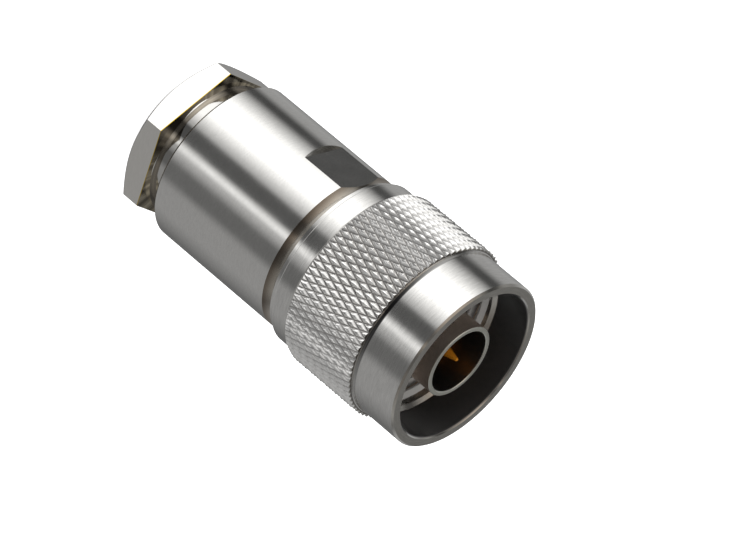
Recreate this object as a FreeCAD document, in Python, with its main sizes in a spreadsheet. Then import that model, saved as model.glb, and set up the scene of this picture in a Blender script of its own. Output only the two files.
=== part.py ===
"""N type cable plug, clamp style, as an assembly of turned pieces.

The axis of the plug is Z. The plug stands on the rear face of its hexagonal
clamp nut, at Z = 0, and its mouth looks up. The two spanner flats of the body
face +Y and -Y. All lengths are millimetres.

Every turned piece is drawn as half of its section, radius against height, and
revolved about Z. The sheet "Sizes" holds what is chosen. The sheets "Radii" and
"Levels" add up from it the radii and heights that neighbouring pieces share, so
that a change moves all that fits around it. Each corner is bound to a sheet.
"""
import FreeCAD, Part
import Sketcher
import math
import os
import re

Vector = FreeCAD.Vector

doc = FreeCAD.newDocument("n_type_plug")


# The driving dimensions. The interface sizes are those of the N series, the
# rest are read from the photograph against the 8 mm tube.

SIZES = [
    # coupling interface
    ("tube_r", 4.0, "outside radius of the outer contact's tube"),
    ("tube_wall", 0.5, "wall of the tube"),
    ("tube_edge", 0.08, "broken edges of the tube's rim"),
    ("pin_r", 0.825, "radius of the pin"),
    ("pin_tip_r", 0.18, "radius of the blunt tip of the pin"),
    ("pin_taper", 2.6, "length of the taper of the pin"),
    ("pin_length", 5.03, "pin ahead of the inner conductor's shoulder"),
    ("pin_recess", 0.27, "tip of the pin behind the tube's rim"),
    ("conductor_step", 0.695, "step from the pin to the inner conductor"),
    ("thread_step", 0.54, "5/8-24 coupling thread, major radius 7.94, outside the spigot"),
    # coupling nut
    ("rim_lead", 0.8, "rim of the nut ahead of the tube's rim"),
    ("nose_wall", 1.19, "wall of the smooth front at the mouth"),
    ("nose_length", 5.6, "smooth front, rim to knurl"),
    ("mouth_step", 0.34, "counterbore at the mouth, outside the thread"),
    ("mouth_depth", 4.2, "depth of the counterbore"),
    ("rim_edge", 0.2, "chamfers of the rim"),
    ("thread_length", 5.85, "length of the coupling thread"),
    ("relief_cut", 0.26, "depth of the relief behind the thread"),
    ("relief_length", 1.2, "width of the relief"),
    ("collar_drop", 0.03, "collar behind the knurl, below the smooth front"),
    ("collar_length", 2.55, "collar, rear face to knurl"),
    ("collar_taper", 0.32, "radial drop of the collar's rear taper"),
    ("collar_edge", 0.6, "length of the collar's rear taper"),
    ("knurl_rise", 0.53, "tips of the knurl above the smooth front"),
    ("knurl_depth", 0.35, "depth of the knurl"),
    ("knurl_count", 78, "teeth around the knurl"),
    ("knurl_rows", 8, "whole rows of teeth"),
    ("knurl_step", 1.05, "height from row to row"),
    ("knurl_lead", 0.44, "first whole row ahead of the rear chamfer"),
    ("knurl_root", 1.1, "depth that the band is let into the nut"),
    ("knurl_seat", 0.7, "depth of the seat turned for the band"),
    ("knurl_fillet", 0.34, "corner in front of the knurl"),
    # body
    ("body_wall", 1.93, "wall of the body around its rear bore"),
    ("front_wall", 3.3, "body in front of the braid clamp, up to the cone"),
    ("body_edge", 0.3, "chamfer of the body's rear edge"),
    ("shoulder_drop", 0.75, "radial drop of the front cone"),
    ("shoulder_length", 0.95, "length of the front cone"),
    ("flat_depth", 0.43, "depth of the two spanner flats, 17.0 across"),
    ("flat_length", 5.1, "flats behind the front cone"),
    ("flat_cutter_r", 9.6, "radius of the cutter that ends the flats"),
    ("flat_bow", 0.4, "how far that cutter reaches past the corners"),
    ("spigot_length", 6.95, "length of the spigot"),
    ("spigot_edge", 0.3, "chamfer of the spigot"),
    ("gland_step", 0.3, "nose of the body around the flange"),
    ("gland_length", 1.6, "length of that nose"),
    ("entry_step", 0.35, "counterbore for the neck of the clamp nut"),
    ("entry_depth", 1.0, "depth of that counterbore"),
    # fits
    ("nut_play", 0.05, "radial play of the nut on the spigot"),
    ("screw_play", 0.08, "radial play in the clamp thread"),
    ("gasket_play", 0.15, "radial room around the rubber"),
    ("nut_float", 0.5, "axial float of the coupling nut"),
    ("nut_gap", 0.4, "gap between the body and the coupling nut"),
    # retaining ring
    ("ring_thick", 1.0, "thickness of the retaining ring"),
    ("ring_bite", 0.8, "depth of the ring in the spigot"),
    ("ring_reach", 0.7, "height of the ring above the nut's bore"),
    ("ring_slot", 3.2, "gap in the ring"),
    ("ring_depth", 2.75, "ring behind the rear face of the nut"),
    ("ring_play", 0.1, "play of the ring in its grooves"),
    # clamp nut
    ("hex_shelf", 0.2875, "flats of the hexagon outside the boss, 15.875 across"),
    ("hex_height", 3.15, "height of the hexagon"),
    ("hex_angle", 4.8, "where the hexagon stopped, in degrees"),
    ("hex_face_drop", 0.5875, "flat rear face inside the flats of the hexagon"),
    ("hex_spare", 0.53, "bar outside the corners that the hexagon is milled from"),
    ("hex_fall", 0.625, "rear chamfer, height for each millimetre of radius"),
    ("boss_lap", 0.3, "boss in front of the hexagon, outside the counterbore"),
    ("boss_height", 0.3, "height of the boss"),
    ("neck_play", 0.15, "radial play of the polished neck"),
    ("neck_gap", 1.9, "neck seen between the boss and the body"),
    ("neck_sunk", 0.8, "neck inside the body"),
    ("shank_reach", 6.2, "clamp nut inside the body"),
    ("shank_edge", 0.4, "chamfer at the end of the shank"),
    ("cable_bore_r", 5.6, "cable inlet"),
    ("shank_wall", 1.32, "wall of the threaded shank"),
    ("cable_bore_edge", 0.5, "chamfer of the inlet"),
    # cable clamping
    ("washer_thick", 0.8, "slip washer"),
    ("gasket_grip", 0.25, "cable gasket inside the cable inlet"),
    ("gasket_length", 4.0, "length of the cable gasket"),
    ("groove_depth", 0.8, "vee groove of the gasket"),
    ("groove_half", 0.45, "half width of that groove"),
    ("groove_play", 0.1, "ridge of the braid clamp short of the groove"),
    ("clamp_length", 2.4, "braid clamp"),
    ("clamp_step", 0.3, "bore of the braid clamp inside that of the insulators"),
    # contacts and insulators
    ("line_step", 0.2, "bore that holds the insulators, outside the tube"),
    ("line_depth", 6.5, "that bore in the outer contact"),
    ("seat_play", 0.03, "radial play of pieces pushed together"),
    ("tail_wall", 0.7, "tail of the outer contact, pressed in the body"),
    ("tail_length", 9.1, "length of that tail"),
    ("flange_step", 0.4, "flange of the outer contact outside its tail"),
    ("flange_height", 0.8, "height of that flange"),
    ("front_bead", 4.0, "length of the front insulator"),
    ("rear_bead", 4.4, "length of the rear insulator"),
    ("rear_step", 0.08, "rear part of the centre contact outside its front part"),
    ("stop_step", 0.5, "collar of the centre contact"),
    ("stop_length", 0.6, "length of that collar"),
    ("cup_wall", 0.4, "wall of the solder cup"),
    ("cup_depth", 4.6, "depth of the solder cup"),
    ("cup_tail", 5.2, "contact behind its collar"),
    ("solder_hole_r", 0.4, "solder hole in the cup"),
    ("solder_hole_set", 2.3, "solder hole ahead of the cup's mouth"),
    # front gasket
    ("seal_wall", 1.6, "radial width of the front gasket"),
    ("seal_step", 0.2, "spigot outside the front gasket"),
    ("seal_height", 1.8, "height of the front gasket"),
]

RADII = [
    ("tube_bore_r", "tube_r - tube_wall", "bore of the tube"),
    ("line_r", "tube_r + line_step", "bore that holds the insulators"),
    ("tail_r", "line_r + tail_wall", "tail of the outer contact"),
    ("flange_r", "tail_r + flange_step", "flange of the outer contact"),
    ("gland_r", "flange_r + gland_step", "nose of the body"),
    ("conductor_r", "pin_r + conductor_step", "inner conductor"),
    ("bead_bore", "conductor_r + rear_step", "rear part of the centre contact"),
    ("stop_r", "bead_bore + stop_step", "collar of the centre contact"),
    ("cup_r", "bead_bore - cup_wall", "bore of the solder cup"),
    ("seal_r", "gland_r + seal_wall", "outside of the front gasket"),
    ("spigot_r", "seal_r + seal_step", "spigot that carries the coupling nut"),
    ("thread_major_r", "spigot_r + thread_step", "major radius of the coupling thread"),
    ("mouth_r", "thread_major_r + mouth_step", "counterbore at the mouth"),
    ("nose_r", "mouth_r + nose_wall", "smooth front of the nut"),
    ("collar_r", "nose_r - collar_drop", "collar behind the knurl"),
    ("collar_edge_r", "collar_r - collar_taper", "collar at its rear face"),
    ("knurl_tip_r", "nose_r + knurl_rise", "tips of the knurl"),
    ("relief_r", "thread_major_r + relief_cut", "relief behind the thread"),
    ("clamp_bore_r", "cable_bore_r + shank_wall + screw_play", "rear bore of the body"),
    ("body_r", "clamp_bore_r + body_wall", "outside of the body"),
    ("entry_r", "clamp_bore_r + entry_step", "counterbore for the neck"),
    ("neck_r", "entry_r - neck_play", "polished neck"),
    ("boss_r", "entry_r + boss_lap", "boss in front of the hexagon"),
    ("hex_flat_r", "boss_r + hex_shelf", "flats of the hexagon"),
    ("hex_face_r", "hex_flat_r - hex_face_drop", "flat rear face"),
    ("hex_blank_r", "hex_flat_r / cos(30) + hex_spare", "bar for the hexagon"),
    ("gasket_bore_r", "cable_bore_r - gasket_grip", "bore of the cable gasket"),
    ("clamp_inner_r", "line_r - clamp_step", "bore of the braid clamp"),
]

LEVELS = [
    ("hex_top", "hex_height", "front face of the hexagon"),
    ("boss_top", "hex_top + boss_height", "front of the boss"),
    ("body_rear", "boss_top + neck_gap", "rear face of the body"),
    ("neck_top", "body_rear + neck_sunk", "front of the neck"),
    ("shank_top", "body_rear + shank_reach", "clamp nut on the slip washer"),
    ("washer_top", "shank_top + washer_thick", "slip washer on the gasket"),
    ("gasket_top", "washer_top + gasket_length", "gasket on the braid clamp"),
    ("clamp_top", "gasket_top + clamp_length", "braid clamp on the body"),
    ("body_front", "clamp_top + front_wall", "front face of the body"),
    ("cone_foot", "body_front - shoulder_length", "foot of the front cone"),
    ("flat_rear", "cone_foot - flat_length", "rear corners of the flats"),
    ("spigot_top", "body_front + spigot_length", "seat of the front gasket"),
    ("gland_top", "spigot_top + gland_length", "flange on the body"),
    ("flange_top", "gland_top + flange_height", "front of the flange"),
    ("tail_foot", "gland_top - tail_length", "seat of the outer contact"),
    ("bead_top", "tail_foot + line_depth", "shoulder in the outer contact"),
    ("stop_top", "bead_top - front_bead", "contact collar on the insulator"),
    ("stop_foot", "stop_top - stop_length", "rear insulator on that collar"),
    ("cup_foot", "stop_foot - cup_tail", "rear end of the contact"),
    ("nut_rear", "body_front + nut_gap", "rear face of the coupling nut"),
    ("ring_foot", "nut_rear + ring_depth", "retaining ring in its groove"),
    ("ring_top", "ring_foot + ring_thick", "top of the retaining ring"),
    ("knurl_foot", "nut_rear + collar_length", "foot of the knurl's chamfer"),
    ("knurl_first", "knurl_foot + knurl_tip_r - collar_r + knurl_lead", "first whole row"),
    ("knurl_top", "knurl_first + knurl_rows * knurl_step", "end of the knurl"),
    ("rim", "knurl_top + nose_length", "rim of the coupling nut"),
    ("tube_rim", "rim - rim_lead", "rim of the tube"),
    ("pin_tip", "tube_rim - pin_recess", "tip of the pin"),
    ("pin_foot", "pin_tip - pin_length", "shoulder of the inner conductor"),
    ("thread_top", "rim - mouth_depth", "front end of the coupling thread"),
    ("thread_foot", "thread_top - thread_length", "rear end of that thread"),
    ("relief_foot", "thread_foot - relief_length", "rear wall of the relief"),
]

WORDS = {}


def qualify(text):
    """Put the name of its sheet in front of every size in a formula."""
    return re.sub(r"[a-z_]+", lambda found: WORDS.get(found.group(), found.group()), text)


def new_sheet(name, rows):
    """Make a sheet with one row per value: its name, the value and a note."""
    sheet = doc.addObject("Spreadsheet::Sheet", name)
    for number, (alias, value, note) in enumerate(rows, start=1):
        text = "=" + qualify(value) if isinstance(value, str) else str(value)
        sheet.set("A%d" % number, alias)
        sheet.set("B%d" % number, text)
        sheet.setAlias("B%d" % number, alias)
        sheet.set("C%d" % number, note)
    return sheet


WORDS.update({alias: "Sizes." + alias for alias, _, _ in SIZES})
sizes = new_sheet("Sizes", SIZES)
radii = new_sheet("Radii", RADII)
WORDS.update({alias: "Radii." + alias for alias, _, _ in RADII})
levels = new_sheet("Levels", LEVELS)
WORDS.update({alias: "Levels." + alias for alias, _, _ in LEVELS})
doc.recompute()


def measure(text):
    """Work out a formula with the values in the sheets."""
    return float(sizes.evalExpression(qualify(text)))


def bind_distance(sketch, kind, point, text):
    """Hold a point of a sketch at a distance from its axes."""
    if text == "0":
        axis = -2 if kind == "DistanceX" else -1
        sketch.addConstraint(Sketcher.Constraint("PointOnObject", *point, axis))
        return
    constraint = Sketcher.Constraint(kind, -1, 1, *point, measure(text))
    index = sketch.addConstraint(constraint)
    sketch.setExpression("Constraints[%d]" % index, qualify(text))


def draw_outline(sketch, corners):
    """Draw a closed outline whose corners are bound to the sheets."""
    points = [Vector(measure(across), measure(up), 0) for across, up in corners]
    count = len(points)
    for number in range(count):
        line = Part.LineSegment(points[number], points[(number + 1) % count])
        sketch.addGeometry(line)
    for number in range(count):
        following = (number + 1) % count
        sketch.addConstraint(Sketcher.Constraint("Coincident", number, 2, following, 1))
    for number, (across, up) in enumerate(corners):
        bind_distance(sketch, "DistanceX", (number, 1), across)
        bind_distance(sketch, "DistanceY", (number, 1), up)


def origin_plane(body, role):
    """Find one of the three base planes of a body."""
    planes = [plane for plane in body.Origin.OriginFeatures if plane.Role == role]
    return planes[0]


def new_sketch(body, name, role):
    """Start a sketch on one of the base planes of its own body."""
    sketch = body.newObject("Sketcher::SketchObject", name)
    sketch.AttachmentSupport = [(origin_plane(body, role), "")]
    sketch.MapMode = "FlatFace"
    return sketch


def turned(label, corners):
    """Make a turned piece: half of its section, revolved about Z."""
    body = doc.addObject("PartDesign::Body", label)
    sketch = new_sketch(body, label + "_section", "XZ_Plane")
    draw_outline(sketch, corners)
    turning = body.newObject("PartDesign::Revolution", label + "_turning")
    turning.Profile = sketch
    turning.ReferenceAxis = (sketch, ["V_Axis"])
    turning.Angle = 360
    body.Tip = turning
    body.Label = label
    doc.recompute()
    return body


def mill(body, sketch, name, depth, away=False):
    """Take a pocket out of a turned piece and make sure that it cuts."""
    before = body.Shape.Volume
    pocket = body.newObject("PartDesign::Pocket", name)
    pocket.Profile = sketch
    pocket.Length = measure(depth)
    pocket.setExpression("Length", qualify(depth))
    pocket.Reversed = away
    body.Tip = pocket
    doc.recompute()
    if body.Shape.Volume > before - 0.01:
        raise ValueError("nothing was milled by " + name)
    return pocket


def repeat_around(body, feature, sketch, count, name):
    """Repeat a milled feature around Z."""
    pattern = body.newObject("PartDesign::PolarPattern", name)
    pattern.Originals = [feature]
    pattern.Axis = (origin_axis(body), [""])
    pattern.Angle = 360
    pattern.Occurrences = count
    body.Tip = pattern
    doc.recompute()
    return pattern


def origin_axis(body):
    """Find the Z axis of a body."""
    axes = [axis for axis in body.Origin.OriginFeatures if axis.Role == "Z_Axis"]
    return axes[0]


def draw_circle(sketch, across, up, radius):
    """Draw a circle with its centre and radius bound to the sheets."""
    centre = Vector(measure(across), measure(up), 0)
    sketch.addGeometry(Part.Circle(centre, Vector(0, 0, 1), measure(radius)))
    bind_distance(sketch, "DistanceX", (0, 3), across)
    bind_distance(sketch, "DistanceY", (0, 3), up)
    index = sketch.addConstraint(Sketcher.Constraint("Radius", 0, measure(radius)))
    sketch.setExpression("Constraints[%d]" % index, qualify(radius))


# The coupling nut starts as a turned blank with its smooth front, its collar
# and its bores, and a lower seat under the knurled band. Its thread is left
# plain at the major radius.

blank = turned("nut_blank", [
    ("spigot_r + nut_play + rim_edge", "nut_rear"),
    ("collar_edge_r", "nut_rear"),
    ("collar_r", "nut_rear + collar_edge"),
    ("collar_r", "knurl_first - knurl_lead"),
    ("knurl_tip_r - knurl_seat", "knurl_first"),
    ("knurl_tip_r - knurl_seat", "knurl_top - knurl_fillet"),
    ("nose_r + 0.4 * knurl_fillet", "knurl_top - knurl_fillet"),
    ("nose_r + 0.4 * knurl_fillet", "knurl_top + 0.05 * knurl_fillet"),
    ("nose_r + 0.12 * knurl_fillet", "knurl_top + 0.4 * knurl_fillet"),
    ("nose_r", "knurl_top + knurl_fillet"),
    ("nose_r", "rim - rim_edge"),
    ("nose_r - rim_edge", "rim"),
    ("mouth_r + rim_edge", "rim"),
    ("mouth_r", "rim - rim_edge"),
    ("mouth_r", "thread_top"),
    ("thread_major_r", "thread_top - mouth_r + thread_major_r"),
    ("thread_major_r", "thread_foot"),
    ("relief_r", "thread_foot"),
    ("relief_r", "relief_foot"),
    ("spigot_r + nut_play", "relief_foot"),
    ("spigot_r + nut_play", "ring_top"),
    ("spigot_r + ring_reach + ring_play", "ring_top"),
    ("spigot_r + ring_reach + ring_play", "ring_foot - ring_play"),
    ("spigot_r + nut_play", "ring_foot - ring_play"),
    ("spigot_r + nut_play", "nut_rear + rim_edge"),
])


def knurl_band():
    """Build the diamond knurl as a closed band of small pyramids.

    Two families of vee grooves cross all over the band. They leave a grid of
    points that are tips and low points in turn, both around and along the
    band, and each cell of that grid folds along the line between its two low
    points. The rear end of the band is cut by a chamfer of 45 degrees.
    """
    tip_r = measure("knurl_tip_r")
    low_r = measure("knurl_tip_r - knurl_depth")
    root_r = measure("knurl_tip_r - knurl_root")
    step = measure("knurl_step")
    rows = int(measure("knurl_rows"))
    top = measure("knurl_top")
    chamfer_top = measure("knurl_first - knurl_lead")
    teeth = int(measure("knurl_count"))
    around = 2 * teeth

    def polar(radius, number, height):
        angle = number % around * math.pi / teeth
        return Vector(radius * math.cos(angle), radius * math.sin(angle), height)

    def is_tip(row, number):
        return (row + number) % 2 == 1

    def grid(row, number):
        radius = tip_r if is_tip(row, number) else low_r
        return polar(radius, number, top - row * step)

    def chamfer(number, radius):
        return polar(radius, number, chamfer_top - tip_r + radius)

    def facet(*corners):
        return Part.Face(Part.makePolygon(list(corners) + [corners[0]]))

    faces = []
    for row in range(rows):
        for number in range(around):
            here, beside = grid(row, number), grid(row, number + 1)
            below, across = grid(row + 1, number), grid(row + 1, number + 1)
            if is_tip(row, number):
                faces += [facet(here, below, beside), facet(beside, below, across)]
            else:
                faces += [facet(here, across, beside), facet(here, below, across)]

    # The chamfer is a ring of flat sectors through one apex on the axis, and
    # it shortens the last cells.
    apex = Vector(0, 0, chamfer_top - tip_r)
    for number in range(around):
        left, right = chamfer(number, tip_r) - apex, chamfer(number + 1, tip_r) - apex
        normal = left.cross(right)

        def cut(start, end):
            share = normal.dot(apex - start) / normal.dot(end - start)
            return start + (end - start) * share

        here, beside = grid(rows, number), grid(rows, number + 1)
        below, across = grid(rows + 1, number), grid(rows + 1, number + 1)
        on_left, on_right = cut(here, below), cut(beside, across)
        if is_tip(rows, number):
            middle = cut(beside, below)
            faces += [facet(here, on_left, middle, beside), facet(beside, middle, on_right)]
        else:
            middle = cut(here, across)
            faces += [facet(here, middle, on_right, beside), facet(here, on_left, middle)]
        low_left, low_right = chamfer(number, root_r), chamfer(number + 1, root_r)
        high_left, high_right = polar(root_r, number, top), polar(root_r, number + 1, top)
        faces.append(facet(on_left, low_left, low_right, on_right, middle))
        faces.append(facet(low_left, high_left, high_right, low_right))

    outer = Part.makePolygon([grid(0, number) for number in range(around + 1)])
    inner = Part.makePolygon([polar(root_r, -number, top) for number in range(around + 1)])
    faces.append(Part.Face([outer, inner]))
    band = Part.Solid(Part.Shell(faces))
    if band.Volume < 0:
        band.reverse()
    return band


knurl = doc.addObject("Part::Feature", "knurl_band")
knurl.Shape = knurl_band()
knurl.Placement = FreeCAD.Placement()

coupling_nut = doc.addObject("Part::Fuse", "coupling_nut")
coupling_nut.Base = blank
coupling_nut.Tool = knurl
coupling_nut.Refine = False
coupling_nut.Label = "coupling_nut"
doc.recompute()


# The body is one turned piece: the large barrel, the cone that faces the
# coupling nut, and the spigot with the groove of the retaining ring. Two
# spanner flats are milled behind the cone with a plunged cutter.

body = turned("body", [
    ("entry_r", "body_rear"),
    ("body_r - body_edge", "body_rear"),
    ("body_r", "body_rear + body_edge"),
    ("body_r", "cone_foot"),
    ("body_r - shoulder_drop", "body_front"),
    ("spigot_r", "body_front"),
    ("spigot_r", "ring_foot"),
    ("spigot_r - ring_bite - ring_play", "ring_foot"),
    ("spigot_r - ring_bite - ring_play", "ring_top + nut_float + ring_play"),
    ("spigot_r", "ring_top + nut_float + ring_play"),
    ("spigot_r", "spigot_top - spigot_edge"),
    ("spigot_r - spigot_edge", "spigot_top"),
    ("gland_r", "spigot_top"),
    ("gland_r", "gland_top"),
    ("tail_r", "gland_top"),
    ("tail_r", "tail_foot"),
    ("line_r", "tail_foot"),
    ("line_r", "clamp_top"),
    ("clamp_bore_r", "clamp_top"),
    ("clamp_bore_r", "body_rear + entry_depth"),
    ("entry_r", "body_rear + entry_depth"),
])
flat_sketch = new_sketch(body, "flat_outline", "XZ_Plane")
flat_sketch.AttachmentOffset = FreeCAD.Placement(
    Vector(0, 0, measure("body_r - flat_depth")), FreeCAD.Rotation())
flat_sketch.setExpression("AttachmentOffset.Base.z", qualify("body_r - flat_depth"))
draw_circle(flat_sketch, "0", "flat_rear - flat_bow + flat_cutter_r", "flat_cutter_r")
doc.recompute()
flat = mill(body, flat_sketch, "flat", "body_r", away=True)
repeat_around(body, flat, flat_sketch, 2, "flats")


# The retaining ring sits in the groove of the spigot and in the groove of the
# coupling nut. It is split so that it can be closed for assembly.

ring = turned("retaining_ring", [
    ("spigot_r - ring_bite", "ring_foot"),
    ("spigot_r + ring_reach", "ring_foot"),
    ("spigot_r + ring_reach", "ring_top"),
    ("spigot_r - ring_bite", "ring_top"),
])
slot_sketch = new_sketch(ring, "ring_slot_outline", "XY_Plane")
draw_outline(slot_sketch, [
    ("0", "-ring_slot / 2"),
    ("knurl_tip_r", "-ring_slot / 2"),
    ("knurl_tip_r", "ring_slot / 2"),
    ("0", "ring_slot / 2"),
])
doc.recompute()
mill(ring, slot_sketch, "ring_slot", "rim", away=True)


# The outer contact: the tube at the mouth, its flange on the nose of the
# body, and the tail pressed in the body around the insulators.

turned("outer_contact", [
    ("tube_bore_r", "bead_top"),
    ("line_r", "bead_top"),
    ("line_r", "tail_foot"),
    ("tail_r - seat_play", "tail_foot"),
    ("tail_r - seat_play", "gland_top"),
    ("flange_r", "gland_top"),
    ("flange_r", "flange_top"),
    ("tube_r", "flange_top"),
    ("tube_r", "tube_rim - tube_edge"),
    ("tube_r - tube_edge", "tube_rim"),
    ("tube_bore_r + tube_edge", "tube_rim"),
    ("tube_bore_r", "tube_rim - tube_edge"),
])

turned("front_insulator", [
    ("conductor_r + seat_play", "stop_top"),
    ("line_r - seat_play", "stop_top"),
    ("line_r - seat_play", "bead_top"),
    ("conductor_r + seat_play", "bead_top"),
])

contact = turned("centre_contact", [
    ("cup_r", "cup_foot"),
    ("bead_bore", "cup_foot"),
    ("bead_bore", "stop_foot"),
    ("stop_r", "stop_foot"),
    ("stop_r", "stop_top"),
    ("conductor_r", "stop_top"),
    ("conductor_r", "pin_foot"),
    ("pin_r", "pin_foot"),
    ("pin_r", "pin_tip - pin_taper"),
    ("pin_tip_r", "pin_tip - pin_tip_r / 2"),
    ("pin_tip_r / 2", "pin_tip"),
    ("0", "pin_tip"),
    ("0", "cup_foot + cup_depth"),
    ("cup_r", "cup_foot + cup_depth"),
])
hole_sketch = new_sketch(contact, "solder_hole_outline", "XZ_Plane")
draw_circle(hole_sketch, "0", "cup_foot + solder_hole_set", "solder_hole_r")
doc.recompute()
mill(contact, hole_sketch, "solder_hole", "stop_r")

turned("rear_insulator", [
    ("bead_bore + seat_play", "stop_foot - rear_bead"),
    ("line_r - seat_play", "stop_foot - rear_bead"),
    ("line_r - seat_play", "stop_foot"),
    ("bead_bore + seat_play", "stop_foot"),
])

turned("front_gasket", [
    ("gland_r + seat_play", "spigot_top"),
    ("seal_r", "spigot_top"),
    ("seal_r", "spigot_top + seal_height"),
    ("gland_r + seat_play", "spigot_top + seal_height"),
])


# The cable clamp: the braid clamp against the shoulder of the body, the
# rubber gasket with its vee groove, the slip washer and the clamp nut.

GROOVE = "(gasket_bore_r + clamp_bore_r - gasket_play) / 2"

turned("braid_clamp", [
    ("clamp_inner_r", "gasket_top"),
    (GROOVE + " - groove_half + groove_play", "gasket_top"),
    (GROOVE, "gasket_top - groove_depth + groove_play"),
    (GROOVE + " + groove_half - groove_play", "gasket_top"),
    ("clamp_bore_r - gasket_play", "gasket_top"),
    ("clamp_bore_r - gasket_play", "clamp_top"),
    ("clamp_inner_r", "clamp_top"),
])

turned("cable_gasket", [
    ("gasket_bore_r", "washer_top"),
    ("clamp_bore_r - gasket_play", "washer_top"),
    ("clamp_bore_r - gasket_play", "gasket_top"),
    (GROOVE + " + groove_half", "gasket_top"),
    (GROOVE, "gasket_top - groove_depth"),
    (GROOVE + " - groove_half", "gasket_top"),
    ("gasket_bore_r", "gasket_top"),
])

turned("slip_washer", [
    ("gasket_bore_r", "shank_top"),
    ("clamp_bore_r - gasket_play", "shank_top"),
    ("clamp_bore_r - gasket_play", "washer_top"),
    ("gasket_bore_r", "washer_top"),
])

clamp_nut = turned("clamp_nut", [
    ("cable_bore_r + cable_bore_edge", "0"),
    ("hex_face_r", "0"),
    ("hex_blank_r", "(hex_blank_r - hex_face_r) * hex_fall"),
    ("hex_blank_r", "hex_top"),
    ("boss_r", "hex_top"),
    ("boss_r", "boss_top"),
    ("neck_r", "boss_top"),
    ("neck_r", "neck_top"),
    ("clamp_bore_r - screw_play", "neck_top"),
    ("clamp_bore_r - screw_play", "shank_top - shank_edge"),
    ("clamp_bore_r - screw_play - shank_edge", "shank_top"),
    ("cable_bore_r", "shank_top"),
    ("cable_bore_r", "cable_bore_edge"),
])
hex_sketch = new_sketch(clamp_nut, "hex_flat_outline", "XY_Plane")
hex_sketch.AttachmentOffset = FreeCAD.Placement(
    Vector(), FreeCAD.Rotation(Vector(0, 0, 1), measure("hex_angle")))
hex_sketch.setExpression("AttachmentOffset.Rotation.Angle", qualify("hex_angle * 1deg"))
draw_outline(hex_sketch, [
    ("hex_flat_r", "-hex_blank_r"),
    ("hex_flat_r + hex_blank_r", "-hex_blank_r"),
    ("hex_flat_r + hex_blank_r", "hex_blank_r"),
    ("hex_flat_r", "hex_blank_r"),
])
doc.recompute()
hex_flat = mill(clamp_nut, hex_sketch, "hex_flat", "hex_top", away=True)
repeat_around(clamp_nut, hex_flat, hex_sketch, 6, "hex_flats")


# Every object has to be sound before anything is written.

PIECES = [
    "coupling_nut", "retaining_ring", "body", "outer_contact", "front_insulator",
    "centre_contact", "rear_insulator", "front_gasket", "braid_clamp",
    "cable_gasket", "slip_washer", "clamp_nut",
]

doc.recompute()
for item in doc.Objects:
    if "Invalid" in item.State or "Error" in item.State:
        raise RuntimeError("not sound: " + item.Name)

os.makedirs("parts", exist_ok=True)
for label in PIECES:
    piece = doc.getObjectsByLabel(label)[0]
    shape = piece.Shape
    if shape.isNull() or not shape.isValid() or len(shape.Solids) != 1:
        raise RuntimeError("bad shape: " + label)
    shape.exportStep("parts/%s.step" % label)
    box = shape.BoundBox
    print("%-16s %9.1f mm3  Z %6.2f to %6.2f  faces %d" % (
        label, shape.Volume, box.ZMin, box.ZMax, len(shape.Faces)))
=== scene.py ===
# %% [markdown]
# An N type cable plug, dressed for a studio picture. The turned solids come from
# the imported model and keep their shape. This file gives them their plated
# finish, lays in the coupling thread, and sets up the light and the camera.

import math

import bmesh
import bpy
from mathutils import Matrix, Vector


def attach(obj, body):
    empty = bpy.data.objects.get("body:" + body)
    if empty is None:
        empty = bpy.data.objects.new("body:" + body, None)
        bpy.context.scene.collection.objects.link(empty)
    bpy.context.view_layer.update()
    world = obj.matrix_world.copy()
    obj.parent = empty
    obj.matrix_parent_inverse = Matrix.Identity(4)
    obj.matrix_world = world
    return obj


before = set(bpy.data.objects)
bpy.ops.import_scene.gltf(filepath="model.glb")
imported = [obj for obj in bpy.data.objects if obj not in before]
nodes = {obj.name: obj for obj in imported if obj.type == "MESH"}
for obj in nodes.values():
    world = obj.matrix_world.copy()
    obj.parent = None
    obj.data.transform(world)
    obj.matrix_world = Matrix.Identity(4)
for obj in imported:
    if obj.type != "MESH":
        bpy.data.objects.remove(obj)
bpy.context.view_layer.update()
MM = 0.001
print("solids:", sorted(nodes))

# %% [markdown]
# The camera stands 590 mm away with a very long lens, so the plug shows almost
# no perspective. Its place and its three directions were worked out from the
# round rims in the picture. The shape is fixed in its own frame, standing on
# its clamp nut, so the camera is rolled to show it lying down.

# %% Camera
camera_right = Vector((0.653778, 0.332101, 0.679915))
camera_up = Vector((0.187502, 0.799418, -0.570766))
camera_back = Vector((-0.733088, 0.500639, 0.460372))
camera_place = Vector((-418.596, 286.634, 288.435)) * MM

camera_data = bpy.data.cameras.new("camera")
camera_data.sensor_width = 36
camera_data.lens = 293.695
camera_data.clip_start = 0.01
camera_data.clip_end = 20
camera = bpy.data.objects.new("camera", camera_data)
bpy.context.scene.collection.objects.link(camera)
turn = Matrix((camera_right, camera_up, camera_back)).transposed()
camera.matrix_world = Matrix.Translation(camera_place) @ turn.to_4x4()
bpy.context.scene.camera = camera
print("camera at", tuple(round(x, 3) for x in camera_place))

# %% [markdown]
# Node materials are built from small helpers. A material starts as a plain
# metal or plastic shader, and each helper adds one node and joins it up. A
# value that goes into a node is either a number or the output of another node.

# %% Helpers for nodes
def join(tree, value, socket):
    if isinstance(value, bpy.types.NodeSocket):
        tree.links.new(value, socket)
    else:
        socket.default_value = value


def add_node(tree, kind, **settings):
    node = tree.nodes.new("ShaderNode" + kind)
    for name, value in settings.items():
        setattr(node, name, value)
    return node


def add_math(tree, operation, *values):
    node = add_node(tree, "Math", operation=operation)
    for socket, value in zip(node.inputs, values):
        join(tree, value, socket)
    return node.outputs[0]


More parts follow.
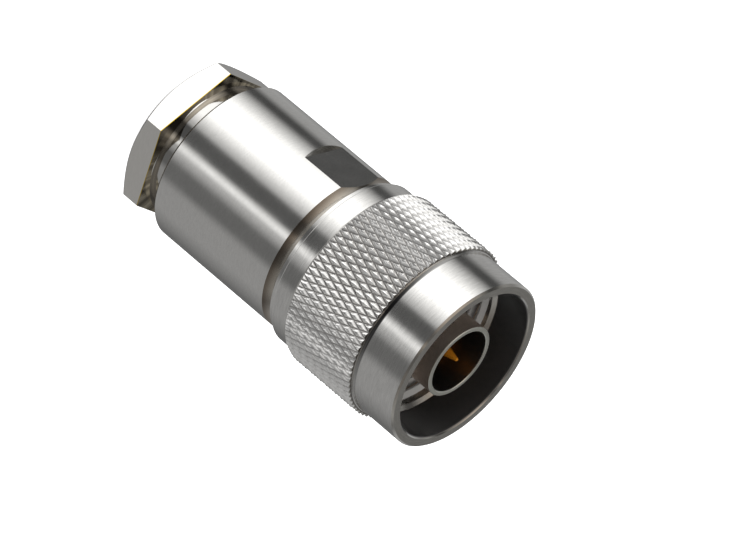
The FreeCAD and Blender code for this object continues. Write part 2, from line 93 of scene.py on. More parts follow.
def add_mix(tree, data_type, factor, first, second, blend_type="MIX"):
    node = add_node(tree, "Mix", data_type=data_type, blend_type=blend_type)
    kind = "VALUE" if data_type == "FLOAT" else data_type
    ends = [socket for socket in node.inputs if socket.type == kind and socket.name in ("A", "B")]
    join(tree, factor, node.inputs["Factor"])
    join(tree, first, ends[0])
    join(tree, second, ends[1])
    return [socket for socket in node.outputs if socket.type == kind][0]


def add_ramp(tree, factor, tones):
    node = add_node(tree, "ValToRGB")
    stops = node.color_ramp.elements
    first, *between, last = tones
    for stop, (place, colour) in zip(stops, (first, last)):
        stop.position = place
        stop.color = (*colour, 1)
    for place, colour in between:
        stop = stops.new(place)
        stop.color = (*colour, 1)
    tree.links.new(factor, node.inputs["Fac"])
    return node.outputs["Color"]


# %% Helpers for materials and groups
def new_material(name, colour, metallic, roughness):
    material = bpy.data.materials.new(name)
    material.use_nodes = True
    shader = material.node_tree.nodes["Principled BSDF"]
    shader.inputs["Base Color"].default_value = (*colour, 1)
    shader.inputs["Metallic"].default_value = metallic
    shader.inputs["Roughness"].default_value = roughness
    return material, material.node_tree, shader


def shader_input(material, name):
    return material.node_tree.nodes["Principled BSDF"].inputs[name]


def new_group(name, inputs, outputs):
    group = bpy.data.node_groups.new(name, "ShaderNodeTree")
    for title, kind, value in inputs:
        socket = group.interface.new_socket(title, in_out="INPUT", socket_type=kind)
        socket.default_value = value
    for title, kind in outputs:
        group.interface.new_socket(title, in_out="OUTPUT", socket_type=kind)
    return group, group.nodes.new("NodeGroupInput"), group.nodes.new("NodeGroupOutput")


def place_group(tree, group, **values):
    node = add_node(tree, "Group", node_tree=group)
    for name, value in values.items():
        node.inputs[name.replace("_", " ")].default_value = value
    return node


# %% [markdown]
# Nearly everything on this plug was turned on a lathe, so its marks follow the
# radius, the angle and the height and not the sides of a box.

# %% Where a point lies on the plug
def polar_place(tree):
    parts = add_node(tree, "SeparateXYZ")
    tree.links.new(add_node(tree, "TexCoord").outputs["Object"], parts.inputs[0])
    x, y, z = parts.outputs
    square = add_math(tree, "ADD", add_math(tree, "MULTIPLY", x, x), add_math(tree, "MULTIPLY", y, y))
    return add_math(tree, "SQRT", square), add_math(tree, "ARCTAN2", y, x), z


def facing_up(tree):
    parts = add_node(tree, "SeparateXYZ")
    tree.links.new(add_node(tree, "NewGeometry").outputs["Normal"], parts.inputs[0])
    return parts.outputs[2]


# %% [markdown]
# A lathe leaves fine lines that run round the axis. Seen from the side they
# stack up along the axis, and on a flat face they are rings. One noise covers
# both: it is read at the radius and at the height, both stretched a great
# deal, and at the angle, hardly stretched. The group puts out a shade to
# multiply a colour with and a height for a bump.

# %% Turned grain
def turned_grain_group():
    group, start, end = new_group(
        "turned_grain",
        [
            ("Lines per mm", "NodeSocketFloat", 6.0),
            ("Lines per radian", "NodeSocketFloat", 8.0),
            ("Depth", "NodeSocketFloat", 0.1),
        ],
        [("Shade", "NodeSocketColor"), ("Height", "NodeSocketFloat")],
    )
    radius, angle, height = polar_place(group)
    lines = add_math(group, "DIVIDE", start.outputs["Lines per mm"], MM)
    spot = add_node(group, "CombineXYZ")
    join(group, add_math(group, "MULTIPLY", radius, lines), spot.inputs[0])
    join(group, add_math(group, "MULTIPLY", angle, start.outputs["Lines per radian"]), spot.inputs[1])
    join(group, add_math(group, "MULTIPLY", height, lines), spot.inputs[2])
    noise = add_node(group, "TexNoise")
    noise.inputs["Scale"].default_value = 1.0
    noise.inputs["Detail"].default_value = 3.0
    noise.inputs["Roughness"].default_value = 0.65
    group.links.new(spot.outputs[0], noise.inputs["Vector"])
    centred = add_math(group, "SUBTRACT", noise.outputs["Fac"], 0.5)
    swing = add_math(group, "MULTIPLY", centred, start.outputs["Depth"])
    shade = add_math(group, "ADD", add_math(group, "MULTIPLY", swing, 2.0), 1.0)
    colour = add_node(group, "CombineColor")
    for socket in colour.inputs:
        group.links.new(shade, socket)
    group.links.new(colour.outputs[0], end.inputs["Shade"])
    group.links.new(noise.outputs["Fac"], end.inputs["Height"])
    return group


turned_grain = turned_grain_group()
print("group:", turned_grain.name)

# %% [markdown]
# Plating dulls in broad, soft clouds where hands and air have reached it, and
# no cast or turned surface has one even gloss. This group gives a slow mottle
# for the roughness.

# %% Mottle
def mottle_group():
    group, start, end = new_group(
        "mottle",
        [
            ("Size mm", "NodeSocketFloat", 3.0),
            ("Low", "NodeSocketFloat", 0.2),
            ("High", "NodeSocketFloat", 0.3),
        ],
        [("Value", "NodeSocketFloat")],
    )
    noise = add_node(group, "TexNoise")
    noise.inputs["Detail"].default_value = 4.0
    group.links.new(add_node(group, "TexCoord").outputs["Object"], noise.inputs["Vector"])
    join(group, add_math(group, "DIVIDE", 1 / MM, start.outputs["Size mm"]), noise.inputs["Scale"])
    spread = add_node(group, "MapRange")
    spread.inputs["From Min"].default_value = 0.3
    spread.inputs["From Max"].default_value = 0.7
    group.links.new(noise.outputs["Fac"], spread.inputs["Value"])
    group.links.new(start.outputs["Low"], spread.inputs["To Min"])
    group.links.new(start.outputs["High"], spread.inputs["To Max"])
    group.links.new(spread.outputs["Result"], end.inputs["Value"])
    return group


mottle = mottle_group()
print("group:", mottle.name)

# %% [markdown]
# Every plated part is white bronze over brass. The colour is a warm pale grey,
# and the parts differ in how fine the lathe left them and in how glossy they
# are. The grain multiplies the colour and lifts the bump, and the mottle
# drives the gloss.

# %% Turned and plated finish
GRAIN_HEIGHT = 0.02 * MM
CLOUD_SIZE_MM = 2.5


def plated(name, colour, lines, arcs, depth, low, high, bump, metallic=1.0):
    material, tree, shader = new_material(name, colour, metallic, (low + high) / 2)
    grain = place_group(tree, turned_grain, Lines_per_mm=lines, Lines_per_radian=arcs, Depth=depth)
    shaded = add_mix(tree, "RGBA", 1.0, (*colour, 1), grain.outputs["Shade"], blend_type="MULTIPLY")
    tree.links.new(shaded, shader.inputs["Base Color"])
    gloss = place_group(tree, mottle, Size_mm=CLOUD_SIZE_MM, Low=low, High=high)
    tree.links.new(gloss.outputs["Value"], shader.inputs["Roughness"])
    relief = add_node(tree, "Bump")
    relief.inputs["Strength"].default_value = bump
    relief.inputs["Distance"].default_value = GRAIN_HEIGHT
    tree.links.new(grain.outputs["Height"], relief.inputs["Height"])
    tree.links.new(relief.outputs["Normal"], shader.inputs["Normal"])
    return material


# %% [markdown]
# The numbers are the lines for each mm, the arcs for each radian, the depth of
# the grain, the lowest and highest roughness, and the strength of the bump.
# The thread's plate is darker, as painted shade inside the nut, and is less of a mirror.

# %% White bronze plate
PLATE = (0.76, 0.75, 0.725)
TUBE_PLATE = (0.70, 0.59, 0.51)
CLAMP_PLATE = (0.78, 0.76, 0.72)
THREAD_PLATE_PAINTED_SHADE = (0.56, 0.55, 0.53)

nut_plate = plated("nut_plate", PLATE, 6.0, 7.0, 0.20, 0.13, 0.18, 0.06)
body_plate = plated("body_plate", PLATE, 8.0, 16.0, 0.12, 0.13, 0.17, 0.04)
tube_plate = plated("tube_plate", TUBE_PLATE, 6.0, 8.0, 0.10, 0.40, 0.48, 0.05)
clamp_plate = plated("clamp_plate", CLAMP_PLATE, 5.0, 4.0, 0.06, 0.06, 0.10, 0.02)
# Painted shade: the thread's plate is a darker copy of the nut's.
thread_plate_painted_shade = plated("thread_plate_painted_shade", THREAD_PLATE_PAINTED_SHADE, 8.0, 4.0, 0.08, 0.30, 0.36, 0.04, metallic=0.45)
for finish in (nut_plate, body_plate, tube_plate, clamp_plate, thread_plate_painted_shade):
    print("plated finish:", finish.name)

# %% [markdown]
# The same plate looks different where it can't be reached or where it has worn
# thin. A mask says how much of a second colour goes over the first. It is made
# of soft steps in the radius, the height or the facing, and an edge is the pair
# of values between which a step goes from nothing to all.

# %% Masks
FACES_UP = (0.6, 0.8)
LEANS_UP = (0.3, 0.5)


def edge(first_mm, last_mm):
    return first_mm * MM, last_mm * MM


def step_up(tree, value, between):
    ramp = add_node(tree, "MapRange", interpolation_type="SMOOTHSTEP")
    ramp.inputs["From Min"].default_value = between[0]
    ramp.inputs["From Max"].default_value = between[1]
    tree.links.new(value, ramp.inputs["Value"])
    return ramp.outputs["Result"]


def step_down(tree, value, between):
    return add_math(tree, "SUBTRACT", 1.0, step_up(tree, value, between))


def overlap(tree, mask, *others):
    for other in others:
        mask = add_math(tree, "MULTIPLY", mask, other)
    return mask


# %% Lay a colour, a gloss, a relief or a direction over a finish
def lay_over(material, mask, colour):
    socket = shader_input(material, "Base Color")
    under = socket.links[0].from_socket
    tree = material.node_tree
    tree.links.new(add_mix(tree, "RGBA", mask, under, (*colour, 1)), socket)


def lay_gloss(material, mask, roughness):
    socket = shader_input(material, "Roughness")
    under = socket.links[0].from_socket
    tree = material.node_tree
    tree.links.new(add_mix(tree, "FLOAT", mask, under, roughness), socket)


def roughen(material, mask, lumps_per_mm, depth_mm):
    tree = material.node_tree
    socket = shader_input(material, "Normal")
    noise = add_node(tree, "TexNoise")
    noise.inputs["Scale"].default_value = lumps_per_mm / MM
    noise.inputs["Detail"].default_value = 2.0
    tree.links.new(add_node(tree, "TexCoord").outputs["Object"], noise.inputs["Vector"])
    relief = add_node(tree, "Bump")
    relief.inputs["Distance"].default_value = depth_mm * MM
    tree.links.new(mask, relief.inputs["Strength"])
    tree.links.new(noise.outputs["Fac"], relief.inputs["Height"])
    tree.links.new(socket.links[0].from_socket, relief.inputs["Normal"])
    tree.links.new(relief.outputs["Normal"], socket)


def face_outward(material, mask):
    tree = material.node_tree
    socket = shader_input(material, "Normal")
    under = socket.links[0].from_socket
    flat = add_node(tree, "VectorMath", operation="MULTIPLY")
    tree.links.new(add_node(tree, "TexCoord").outputs["Object"], flat.inputs[0])
    flat.inputs[1].default_value = (1, 1, 0)
    outward = add_node(tree, "VectorTransform", vector_type="NORMAL")
    outward.convert_from = "OBJECT"
    outward.convert_to = "WORLD"
    tree.links.new(flat.outputs["Vector"], outward.inputs["Vector"])
    tree.links.new(add_mix(tree, "VECTOR", mask, under, outward.outputs["Vector"]), socket)


# %% [markdown]
# Some painted shade and painted light fades around the axis. It is strongest at one bearing and at the
# one opposite, and the second output breaks it into streaks.

# %% Painted shade and light that fade around the axis
STREAKS_PER_RADIAN = 9.0
STREAK_NOISE = (0.35, 0.65)
WEAKEST_STREAK = 0.3


def around_group():
    group, start, end = new_group(
        "around",
        [("Middle", "NodeSocketFloat", 0.0)],
        [("Value", "NodeSocketFloat"), ("Streaks", "NodeSocketFloat")],
    )
    _, angle, _ = polar_place(group)
    middle = add_math(group, "RADIANS", start.outputs["Middle"])
    twice = add_math(group, "MULTIPLY", add_math(group, "SUBTRACT", angle, middle), 2.0)
    swing = add_math(group, "MULTIPLY", add_math(group, "COSINE", twice), 0.5)
    share = add_math(group, "ADD", swing, 0.5)
    group.links.new(share, end.inputs["Value"])
    noise = add_node(group, "TexNoise", noise_dimensions="1D")
    noise.inputs["Scale"].default_value = 1.0
    group.links.new(add_math(group, "MULTIPLY", angle, STREAKS_PER_RADIAN), noise.inputs["W"])
    spread = add_node(group, "MapRange")
    spread.inputs["From Min"].default_value = STREAK_NOISE[0]
    spread.inputs["From Max"].default_value = STREAK_NOISE[1]
    spread.inputs["To Min"].default_value = WEAKEST_STREAK
    group.links.new(noise.outputs["Fac"], spread.inputs["Value"])
    group.links.new(add_math(group, "MULTIPLY", share, spread.outputs["Result"]), end.inputs["Streaks"])
    return group


around = around_group()
print("group:", around.name)

# %% [markdown]
# The counterbore in front of the thread is rough, and its colour is painted
# dark as painted shade of the recess. The short step between the knurl and the
# nose is painted nearly black on two sides of the nut, one of them the side
# towards the camera, as painted shade.

# %% Painted shade in the mouth and the corner of the nut
BORE_WALL = edge(8.30, 8.42)
MOUTH_REAR = edge(35.82, 35.90)
MOUTH_PAINTED_SHADE = (0.135, 0.135, 0.14)
MOUTH_ROUGHNESS = 0.38
KNURL_FRONT = edge(34.36, 34.39)
NOSE_REAR = edge(34.78, 34.92)
STEP_FLOOR = edge(9.20, 9.30)
BELOW_TIPS = edge(9.86, 9.90)
CORNER_PAINTED_SHADE = (0.02, 0.02, 0.02)
CORNER_BEARING = 150.0

tree = nut_plate.node_tree
radius, _, height = polar_place(tree)
mouth = overlap(tree, step_down(tree, radius, BORE_WALL), step_up(tree, height, MOUTH_REAR))
# Painted shade: the colour of the mouth is darkened.
lay_over(nut_plate, mouth, MOUTH_PAINTED_SHADE)
lay_gloss(nut_plate, mouth, MOUTH_ROUGHNESS)
corner = overlap(
    tree,
    step_up(tree, height, KNURL_FRONT),
    step_down(tree, height, NOSE_REAR),
    step_up(tree, radius, STEP_FLOOR),
    step_down(tree, radius, BELOW_TIPS),
    place_group(tree, around, Middle=CORNER_BEARING).outputs["Value"],
)
# Painted shade: the step is laid over nearly black, strongest at two bearings.
lay_over(nut_plate, corner, CORNER_PAINTED_SHADE)
print("dark mouth and corner on:", nut_plate.name)

# %% [markdown]
# The knurl was pressed in by two wheels, which left bright, slightly lumpy
# faces and tips that are a little flat, and its valleys are darker. The narrow
# taper behind it is lit as if it were straight, as the picture shows it.

# %% Knurl and collar of the nut
TOOTH_FOOT = edge(9.52, 9.58)
KNURL_REAR = edge(25.0, 25.1)
TOOTH_SHADE = (0.95, 0.94, 0.92)
TOOTH_ROUGHNESS = 0.10
VALLEY_TOP = edge(9.66, 9.78)
VALLEY_SHADE = (0.46, 0.45, 0.44)
TIP_FOOT = edge(9.78, 9.95)
TIP_FLATNESS = 0.5
LUMPS_PER_MM = 5.0
LUMP_DEPTH_MM = 0.02
TAPER_FRONT = edge(22.96, 23.02)
TAPER_RADIUS = edge(9.00, 9.06)

teeth = overlap(tree, step_up(tree, radius, TOOTH_FOOT), step_up(tree, height, KNURL_REAR))
lay_over(nut_plate, teeth, TOOTH_SHADE)
lay_over(nut_plate, overlap(tree, teeth, step_down(tree, radius, VALLEY_TOP)), VALLEY_SHADE)
lay_gloss(nut_plate, teeth, TOOTH_ROUGHNESS)
roughen(nut_plate, teeth, LUMPS_PER_MM, LUMP_DEPTH_MM)
face_outward(nut_plate, overlap(tree, teeth, step_up(tree, radius, TIP_FOOT), TIP_FLATNESS))
taper = overlap(tree, step_down(tree, height, TAPER_FRONT), step_up(tree, radius, TAPER_RADIUS))
face_outward(nut_plate, taper)
print("knurl and collar on:", nut_plate.name)

# %% [markdown]
# The cone at the front of the body lies in the shade of the nut, and that shade
# is painted into its colour as a brown, most of all in its rear half.

# %% Painted shade on the cone of the body
CONE_REAR = edge(21.0, 21.1)
CONE_MIDDLE = edge(21.1, 21.9)
CONE_PAINTED_SHADE = (0.42, 0.37, 0.31)
CONE_REAR_PAINTED_SHADE = (0.26, 0.225, 0.19)
CONE_PAINTED_SHADE_SHARE = 0.55

tree = body_plate.node_tree
_, _, height = polar_place(tree)
cone = overlap(tree, step_up(tree, height, CONE_REAR), step_up(tree, facing_up(tree), LEANS_UP))
# Painted shade: the cone is laid over brown, and darker still in its rear half.
lay_over(body_plate, overlap(tree, cone, CONE_PAINTED_SHADE_SHARE), CONE_PAINTED_SHADE)
lay_over(body_plate, overlap(tree, cone, step_down(tree, height, CONE_MIDDLE)), CONE_REAR_PAINTED_SHADE)
print("cone on:", body_plate.name)

# %% [markdown]
# The inside of the tube is glossier and painted dark, as painted shade of the bore, and its turned rim
# is the palest place on the plug.

# %% Bore and rim of the tube
TUBE_WALL = edge(3.52, 3.58)
BORE_PAINTED_SHADE = (0.26, 0.24, 0.22)
TUBE_ROUGHNESS = 0.27
TUBE_FRONT = edge(39.0, 39.1)
RIM_FACES_UP = (0.5, 0.7)
RIM_SHADE = (0.88, 0.90, 0.84)

tree = tube_plate.node_tree
radius, _, height = polar_place(tree)
inside = step_down(tree, radius, TUBE_WALL)
# Painted shade: the bore is laid over dark.
lay_over(tube_plate, inside, BORE_PAINTED_SHADE)
lay_gloss(tube_plate, inside, TUBE_ROUGHNESS)
rim = overlap(tree, step_up(tree, height, TUBE_FRONT), step_up(tree, facing_up(tree), RIM_FACES_UP))
lay_over(tube_plate, rim, RIM_SHADE)
print("bore and rim on:", tube_plate.name)

# %% [markdown]
# The front of the hexagon, close to the barrel, lies in shade, which is painted
# into its colour as a near black brown, with paler streaks of painted light at
# two sides. The boss face in front of it is painted darker as painted shade, and
# the neck is a little darker.

# %% Painted shade on the front of the hexagon
HEX_FRONT = edge(3.00, 3.06)
BOSS_REAR = edge(3.20, 3.25)
HEX_FRONT_PAINTED_SHADE = (0.05, 0.04, 0.03)
PAINTED_LIGHT_BEARING = 45.0
PAINTED_LIGHT = (0.90, 0.82, 0.66)
BOSS_FRONT = edge(3.40, 3.44)
BOSS_PAINTED_SHADE = (0.40, 0.37, 0.33)
NECK_REAR = edge(3.5, 3.6)
NECK_SHADE = (0.60, 0.59, 0.57)
NECK_SHADE_SHARE = 0.8

tree = clamp_plate.node_tree
radius, _, height = polar_place(tree)
up = facing_up(tree)
front = overlap(tree, step_up(tree, height, HEX_FRONT), step_down(tree, height, BOSS_REAR))
painted_shade = overlap(tree, front, step_up(tree, up, FACES_UP))
# Painted shade: the front face of the hexagon is laid over near black brown.
lay_over(clamp_plate, painted_shade, HEX_FRONT_PAINTED_SHADE)
streaks = place_group(tree, around, Middle=PAINTED_LIGHT_BEARING).outputs["Streaks"]
# Painted light: paler streaks on that face at two bearings.
lay_over(clamp_plate, overlap(tree, painted_shade, streaks), PAINTED_LIGHT)
boss_face = overlap(tree, step_up(tree, height, BOSS_FRONT), step_up(tree, up, FACES_UP))
# Painted shade: the boss face is laid over darker.
lay_over(clamp_plate, boss_face, BOSS_PAINTED_SHADE)
lay_over(clamp_plate, overlap(tree, step_up(tree, height, NECK_REAR), NECK_SHADE_SHARE), NECK_SHADE)
print("browned front on:", clamp_plate.name)

# %% [markdown]
# The plate is thin on the front edges of the hexagon, and the brass shows as a
# fine yellow line. The rear edge is a fine grey line. It follows the arc that
# the chamfer cuts into each side: the further out, the higher it stands.

# %% Edges of the hexagon
FRONT_EDGE = edge(3.06, 3.10)
EDGE_RADIUS = edge(7.70, 7.74)
BARE_BRASS = (0.62, 0.42, 0.02)
CHAMFER_RADIUS = 7.35 * MM
CHAMFER_SLOPE = 0.625
REAR_EDGE = edge(0.03, 0.08)
REAR_FACE_DOWN = (-0.4, -0.2)
REAR_EDGE_SHADE = (0.22, 0.22, 0.23)

front_edge = overlap(
    tree,
    step_up(tree, height, FRONT_EDGE),
    step_down(tree, up, LEANS_UP),
    step_up(tree, radius, EDGE_RADIUS),
)
lay_over(clamp_plate, front_edge, BARE_BRASS)
past_face = add_math(tree, "SUBTRACT", radius, CHAMFER_RADIUS)
arc = add_math(tree, "MULTIPLY", past_face, CHAMFER_SLOPE)
above_arc = add_math(tree, "SUBTRACT", height, arc)
rear_edge = overlap(tree, step_down(tree, above_arc, REAR_EDGE), step_up(tree, up, REAR_FACE_DOWN))
lay_over(clamp_plate, rear_edge, REAR_EDGE_SHADE)
print("edges on:", clamp_plate.name)

# %% [markdown]
# The centre contact is gold plated, the ring is spring bronze, and the two
# clamping pieces inside are plain brass. They differ only in colour and gloss.

# %% Gold, bronze and brass
gold = plated("gold", (0.95, 0.38, 0.03), 8.0, 6.0, 0.06, 0.16, 0.22, 0.04, metallic=0.8)
spring_bronze = plated("spring_bronze", (0.62, 0.46, 0.28), 8.0, 6.0, 0.10, 0.25, 0.35, 0.1)
plain_brass = plated("plain_brass", (0.75, 0.58, 0.28), 8.0, 6.0, 0.12, 0.22, 0.32, 0.1)
print("other metals:", gold.name, spring_bronze.name, plain_brass.name)

# %% [markdown]
# The insulators are white fluoropolymer with a waxy gloss. The gaskets are
# rubber, dull and a little uneven.

# %% Plastics and rubber
MOULD_HEIGHT = 0.05 * MM


def moulded(name, colour, low, high, size_mm, bump):
    material, tree, shader = new_material(name, colour, 0.0, (low + high) / 2)
    gloss = place_group(tree, mottle, Size_mm=size_mm, Low=low, High=high)
    tree.links.new(gloss.outputs["Value"], shader.inputs["Roughness"])
    relief = add_node(tree, "Bump")
    relief.inputs["Strength"].default_value = bump
    relief.inputs["Distance"].default_value = MOULD_HEIGHT
    tree.links.new(gloss.outputs["Value"], relief.inputs["Height"])
    tree.links.new(relief.outputs["Normal"], shader.inputs["Normal"])
    return material


ptfe = moulded("ptfe", (0.86, 0.86, 0.84), 0.35, 0.5, 1.5, 0.2)
silicone = moulded("silicone", (0.05, 0.045, 0.04), 0.45, 0.6, 0.8, 0.3)
black_rubber = moulded("black_rubber", (0.03, 0.03, 0.03), 0.5, 0.7, 0.5, 0.4)
print("soft finishes:", ptfe.name, silicone.name, black_rubber.name)

# %% Give each solid its finish
finishes = {
    "coupling_nut": nut_plate,
    "retaining_ring": spring_bronze,
    "body": body_plate,
    "outer_contact": tube_plate,
    "front_insulator": ptfe,
    "centre_contact": gold,
    "rear_insulator": ptfe,
    "front_gasket": silicone,
    "braid_clamp": plain_brass,
    "cable_gasket": black_rubber,
    "slip_washer": plain_brass,
    "clamp_nut": clamp_plate,
}
for name, material in finishes.items():
    slots = nodes[name].data.materials
    slots.clear()
    slots.append(material)
print("finished:", len(finishes), "solids")

# %% [markdown]
# The coupling thread is 24 turns to the inch, so one turn climbs 1.058 mm. The
# solid is left plain at the thread's outer radius, and the thread is a ridge
# laid on that wall: a small flat-topped tooth, spun around the axis while it
# climbs. The spin operator does both at once. The last quarter turn sinks back
# into the wall, as a cut thread does where the tool leaves it. Sizes along the
# axis are shares of the pitch.

# %% Shape of the coupling thread
THREAD_WALL = 7.94 * MM
THREAD_CREST = 7.42 * MM
PITCH = 25.4 / 24 * MM
THREAD_FOOT = 29.97 * MM
THREAD_TOP = 35.46 * MM
THREAD_END_DEG = 150
STEPS_PER_TURN = 96
SUNK_IN_WALL = 0.03 * MM
RUN_OUT_DEPTH = 0.02 * MM
HALF_FOOT = 0.45
HALF_CREST = 0.09
RUN_OUT_BEFORE_END = 0.2
RUN_OUT_LENGTH = 0.29


def sink_run_out(shape, last, wall, outside):
    for corner in shape.verts:
        past = (corner.co.z - (last - RUN_OUT_BEFORE_END * PITCH)) / (RUN_OUT_LENGTH * PITCH)
        reach = math.hypot(corner.co.x, corner.co.y)
        if past > 0 and reach < wall:
            wider = reach + (outside - RUN_OUT_DEPTH - reach) * min(past, 1)
            corner.co.x *= wider / reach
            corner.co.y *= wider / reach


def thread_ridge(wall, crest, foot, top):
    shape = bmesh.new()
    outside = wall + SUNK_IN_WALL
    section = [(outside, -HALF_FOOT), (crest, -HALF_CREST), (crest, HALF_CREST), (outside, HALF_FOOT)]
    turns = (top - foot - 2 * HALF_FOOT * PITCH) / PITCH
    steps = int(STEPS_PER_TURN * turns)
    start = math.radians(THREAD_END_DEG) - 2 * math.pi * steps / STEPS_PER_TURN
    start_height = foot + HALF_FOOT * PITCH
    corners = []
    for r, share in section:
        z = start_height + PITCH * share
        corners.append(shape.verts.new((r * math.cos(start), r * math.sin(start), z)))
    face = shape.faces.new(corners)
    bmesh.ops.spin(
        shape,
        geom=[face],
        cent=(0, 0, 0),
        axis=(0, 0, 1),
        dvec=(0, 0, PITCH / STEPS_PER_TURN),
        angle=2 * math.pi / STEPS_PER_TURN * steps,
        steps=steps,
        use_duplicate=False,
    )
    sink_run_out(shape, start_height + PITCH * steps / STEPS_PER_TURN, wall, outside)
    bmesh.ops.recalc_face_normals(shape, faces=shape.faces)
    return shape


# %% Coupling thread
thread_shape = thread_ridge(THREAD_WALL, THREAD_CREST, THREAD_FOOT, THREAD_TOP)
thread_mesh = bpy.data.meshes.new("coupling_thread")
thread_shape.to_mesh(thread_mesh)
thread_shape.free()
thread_mesh.materials.append(thread_plate_painted_shade)
thread = bpy.data.objects.new("coupling_thread", thread_mesh)
bpy.context.scene.collection.objects.link(thread)
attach(thread, "nut")
heights = [corner.co.z for corner in thread_mesh.vertices]
print("thread faces:", len(thread_mesh.polygons))
print("thread from", round(min(heights), 5), "to", round(max(heights), 5))

# %% [markdown]
# The floor is a large pale sheet a few millimetres under the plug, so that the
# clamp nut can be screwed out without meeting it. It glows a little for the
# camera, which makes a white background. Glossy rays don't see it: bright
# metal shows the studio around it instead.

# %% Floor
FLOOR_DROP = 5.2 * MM
FLOOR_HALF_SIZE = 6.0
FLOOR_GLOW = 0.7

floor_shape = bmesh.new()
bmesh.ops.create_grid(floor_shape, x_segments=1, y_segments=1, size=FLOOR_HALF_SIZE)
floor_mesh = bpy.data.meshes.new("floor")
floor_shape.to_mesh(floor_mesh)
floor_shape.free()
floor = bpy.data.objects.new("floor", floor_mesh)
floor.location.z = -FLOOR_DROP
bpy.context.scene.collection.objects.link(floor)
floor.visible_glossy = False
print("floor size:", tuple(floor.dimensions))

# %% Paint of the floor
floor_paint, floor_tree, floor_shader = new_material("floor_paint", (1.0, 1.0, 1.0), 0.0, 1.0)
floor_shader.inputs["Specular IOR Level"].default_value = 0.0
floor_ray = add_node(floor_tree, "LightPath")
seen = floor_ray.outputs["Is Camera Ray"]
for kind in ("Is Glossy Ray", "Is Transmission Ray"):
    seen = add_math(floor_tree, "MAXIMUM", seen, floor_ray.outputs[kind])
glow = add_node(floor_tree, "Emission")
floor_tree.links.new(add_math(floor_tree, "MULTIPLY", seen, FLOOR_GLOW), glow.inputs["Strength"])
both = add_node(floor_tree, "AddShader")
floor_tree.links.new(floor_shader.outputs[0], both.inputs[0])
floor_tree.links.new(glow.outputs[0], both.inputs[1])
floor_tree.links.new(both.outputs[0], floor_tree.nodes["Material Output"].inputs["Surface"])
floor_mesh.materials.append(floor_paint)
print("floor paint:", floor_paint.name)

# %% [markdown]
# Polished metal has no colour of its own to speak of. What shows in it is the
# room. The plug was lit by one broad white box on one side and a narrow one on
# the other, between grey walls and dark gaps. Each card below has a first and a
# last bearing in degrees, as seen from the plug, and a strength. Between two
# cards the light falls off softly.

# %% Cards around the plug
CARDS = [
    ("grey wall", 5, 20, 0.38),
    ("dark gap", 33, 43, 0.07),
    ("broad white box", 80, 107, 1.6),
    ("dim end of the box", 128, 130, 0.6),
    ("dark gap", 136, 155, 0.1),
    ("narrow box", 163, 166, 1.1),
    ("haze beside it", 171, 174, 0.5),
    ("dim wall", 186, 205, 0.15),
    ("grey wall", 216, 255, 0.33),
    ("dim wall", 298, 322, 0.15),
]
WALL_BEHIND = 0.4

world = bpy.data.worlds.new("studio")
bpy.context.scene.world = world
world.use_nodes = True
room_tree = world.node_tree
room_tree.nodes.clear()
split = add_node(room_tree, "SeparateXYZ")
room_tree.links.new(add_node(room_tree, "TexCoord").outputs["Generated"], split.inputs[0])
bearing = add_math(room_tree, "ARCTAN2", split.outputs[1], split.outputs[0])
turn_share = add_math(room_tree, "FRACT", add_math(room_tree, "DIVIDE", bearing, 2 * math.pi))
tones = [(0.0, [WALL_BEHIND] * 3)]
for what, first, last, strength in CARDS:
    tones.append((first / 360, [strength] * 3))
    tones.append((last / 360, [strength] * 3))
    print("card:", what, "from", first, "to", last, "degrees")
tones.append((1.0, [WALL_BEHIND] * 3))
walls = add_ramp(room_tree, turn_share, tones)

# %% [markdown]
# The cards stand for the directions a little below the plug, which the turned
# sides show. The cone, the rims and half of each knurl face look up, past a
# bright band, into a dim brownish ceiling. A pale haze lies over the room at
# the very bottom and at eye level, where it takes the edge off the knurl.
# Heights run from 0, straight down, over 0.5 at eye level to 1, straight up.

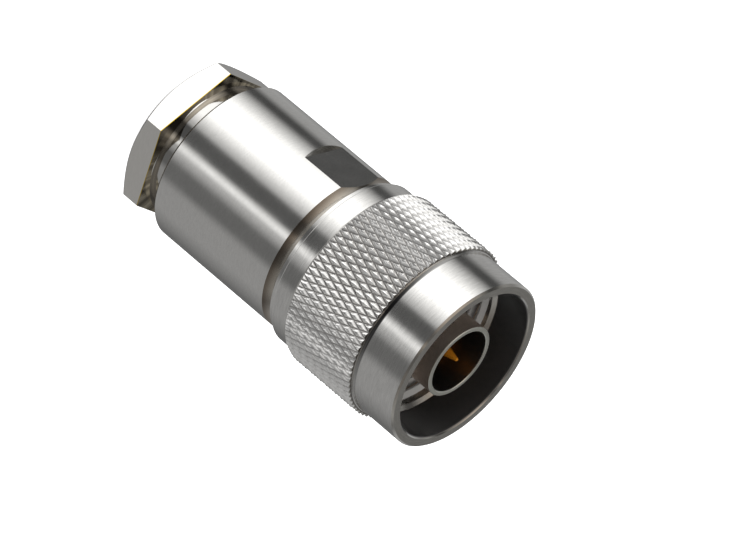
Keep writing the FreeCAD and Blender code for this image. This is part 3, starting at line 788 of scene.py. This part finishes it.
# %% Ceiling and haze
CEILING = [
    (0.34, (1.0, 1.0, 1.0)),
    (0.66, (0.52, 0.51, 0.49)),
    (0.73, (1.05, 1.03, 0.98)),
    (0.88, (0.28, 0.235, 0.19)),
]
HAZE = [
    (0.04, 0.4), (0.13, 0.35), (0.21, 0.0), (0.36, 0.0), (0.44, 0.45),
    (0.57, 0.5), (0.66, 0.0), (0.8, 0.0), (0.9, 0.1),
]
HAZE_COLOUR = (0.6, 0.6, 0.6, 1)

height_share = add_math(room_tree, "MULTIPLY_ADD", split.outputs[2], 0.5, 0.5)
ceiling = add_ramp(room_tree, height_share, CEILING)
haze = add_ramp(room_tree, height_share, [(place, [amount] * 3) for place, amount in HAZE])
dimmed = add_mix(room_tree, "RGBA", 1.0, walls, ceiling, blend_type="MULTIPLY")
hazy = add_mix(room_tree, "RGBA", haze, dimmed, HAZE_COLOUR)
print("ceiling tones:", len(CEILING), "haze tones:", len(HAZE))

# %% [markdown]
# Only glossy rays see the room. The rest of the light is an even white.

# %% Room for glossy rays, even light for the rest
EVEN_LIGHT = (0.8, 0.8, 0.8, 1)

room = add_node(room_tree, "Background")
room_tree.links.new(hazy, room.inputs["Color"])
even = add_node(room_tree, "Background")
even.inputs["Color"].default_value = EVEN_LIGHT
ray = add_node(room_tree, "LightPath")
choose = add_node(room_tree, "MixShader")
room_tree.links.new(ray.outputs["Is Glossy Ray"], choose.inputs["Fac"])
room_tree.links.new(even.outputs[0], choose.inputs[1])
room_tree.links.new(room.outputs[0], choose.inputs[2])
room_out = add_node(room_tree, "OutputWorld")
room_tree.links.new(choose.outputs[0], room_out.inputs["Surface"])
print("world:", world.name)

# %% [markdown]
# One large soft lamp above gives the floor and the dull parts a gentle shade.

# %% Lamp
LAMP_SIZE = 1.0
LAMP_WATTS = 6.0
LAMP_PLACE = Vector((-0.2, 0.5, 1.2))

lamp_data = bpy.data.lights.new("soft_lamp", "AREA")
lamp_data.size = LAMP_SIZE
lamp_data.energy = LAMP_WATTS
lamp = bpy.data.objects.new("soft_lamp", lamp_data)
lamp.location = LAMP_PLACE
lamp.rotation_mode = "QUATERNION"
lamp.rotation_quaternion = LAMP_PLACE.to_track_quat("Z", "Y")
lamp.visible_glossy = False
bpy.context.scene.collection.objects.link(lamp)
bpy.context.scene.view_settings.view_transform = "Standard"
print("lamp:", lamp_data.energy, "W")
